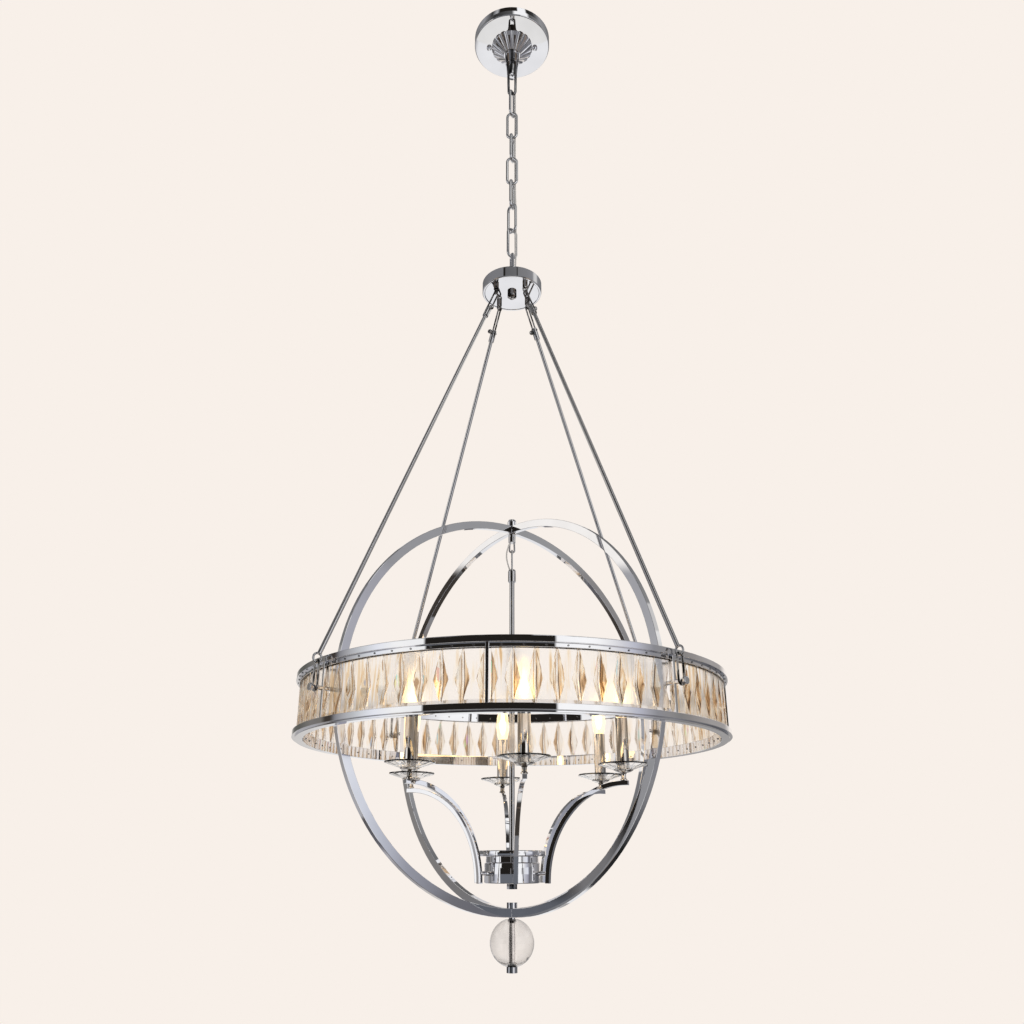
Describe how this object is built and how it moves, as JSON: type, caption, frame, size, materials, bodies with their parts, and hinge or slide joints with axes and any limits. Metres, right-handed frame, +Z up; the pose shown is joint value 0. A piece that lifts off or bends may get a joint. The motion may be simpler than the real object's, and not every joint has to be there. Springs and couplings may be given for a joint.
{
  "type": "orb chandelier",
  "caption": "Hanging orb chandelier: a crystal ring with crossed round hoops and a candle light cluster, hung by rods and a chain from a ceiling canopy.",
  "frame": {"origin": "centre of the outlet box screw line, in the ceiling plane on the canopy's axis", "axes": "+Z up along the chain and the stem, towards the ceiling; -Y towards the front of the picture; +X to the right in it"},
  "size_m": [0.6999, 0.7, 1.8922],
  "materials": {
    "chrome": "mirror polished chrome",
    "plated_steel": "zinc plated steel, satin",
    "crystal": "clear cut crystal glass",
    "bulb_glass": "clear bulb glass, lit warm",
    "socket_plastic": "white moulded socket",
    "lead_clear": "clear silver flexible lead"
  },
  "bodies": {
    "ceiling": {"crossbar": "plated_steel", "canopy_studs": "plated_steel", "canopy_cap_nuts": "chrome", "canopy_pan": "chrome", "canopy_rosette": "chrome", "canopy_collar": "chrome", "canopy_loop": "chrome", "lead_cord": "lead_clear"},
    "link_1": {"chain_link_1": "chrome"},
    "link_2": {"chain_link_2": "chrome"},
    "link_3": {"chain_link_3": "chrome"},
    "link_4": {"chain_link_4": "chrome"},
    "link_5": {"chain_link_5": "chrome"},
    "link_6": {"chain_link_6": "chrome"},
    "link_7": {"chain_link_7": "chrome"},
    "basket": {"hub_loop": "chrome", "hub_drum": "chrome", "hub_lid": "chrome", "hub_nut": "chrome", "hub_eyes": "chrome", "rod_top_links": "chrome", "suspension_rods": "chrome", "rod_bolts": "chrome", "rod_stirrups": "chrome", "upper_rim": "chrome", "lower_rim": "chrome", "ring_posts": "chrome", "ring_studs": "chrome", "crystals_1": "crystal", "crystals_2": "crystal", "crystals_3": "crystal", "crystals_4": "crystal", "hoop_front_left": "chrome", "hoop_front_right": "chrome", "pole_cap_nut": "chrome", "upper_coupling": "chrome", "finial_rod": "chrome", "crystal_ball": "crystal", "end_nut": "chrome", "stem_lead": "lead_clear"},
    "lights": {"stem_coupling": "chrome", "stem_tube": "chrome", "light_hub": "chrome", "light_hub_nut": "chrome", "arm_1": "chrome", "arm_2": "chrome", "arm_3": "chrome", "arm_4": "chrome", "arm_5": "chrome", "arm_6": "chrome", "arm_screws": "chrome", "candle_cups": "chrome", "candle_dishes": "crystal", "candle_sleeves": "chrome", "candle_sockets": "socket_plastic", "bulbs": "bulb_glass"}
  },
  "joints": [
    {"name": "link_1_swing", "type": "hinge", "parent": "ceiling", "child": "link_1", "pos_m": [0, 0, -0.1627], "axis": [0.9962, -0.0872, 0], "range_deg": [-12, 12], "deforming": ["lead_cord"]},
    {"name": "link_2_swing", "type": "hinge", "parent": "link_1", "child": "link_2", "pos_m": [0, 0, -0.2251], "axis": [0.4067, 0.9135, 0], "range_deg": [-12, 12]},
    {"name": "link_3_swing", "type": "hinge", "parent": "link_2", "child": "link_3", "pos_m": [0, 0, -0.2875], "axis": [0.9903, -0.1392, 0], "range_deg": [-12, 12]},
    {"name": "link_4_swing", "type": "hinge", "parent": "link_3", "child": "link_4", "pos_m": [0, 0, -0.3499], "axis": [0.2588, 0.9659, 0], "range_deg": [-12, 12]},
    {"name": "link_5_swing", "type": "hinge", "parent": "link_4", "child": "link_5", "pos_m": [0, 0, -0.4123], "axis": [1, 0, 0], "range_deg": [-12, 12]},
    {"name": "link_6_swing", "type": "hinge", "parent": "link_5", "child": "link_6", "pos_m": [0, 0, -0.4747], "axis": [0.309, 0.9511, 0], "range_deg": [-12, 12]},
    {"name": "link_7_swing", "type": "hinge", "parent": "link_6", "child": "link_7", "pos_m": [0, 0, -0.5371], "axis": [0.7431, -0.6691, 0], "range_deg": [-12, 12]},
    {"name": "basket_swing", "type": "hinge", "parent": "link_7", "child": "basket", "pos_m": [0, 0, -0.5995], "axis": [0.809, 0.5878, 0], "range_deg": [-12, 12]},
    {"name": "lights_swing", "type": "hinge", "parent": "basket", "child": "lights", "pos_m": [0, 0, -1.23155], "axis": [1, 0, 0], "range_deg": [-7, 7], "deforming": ["stem_lead"]}
  ]
}
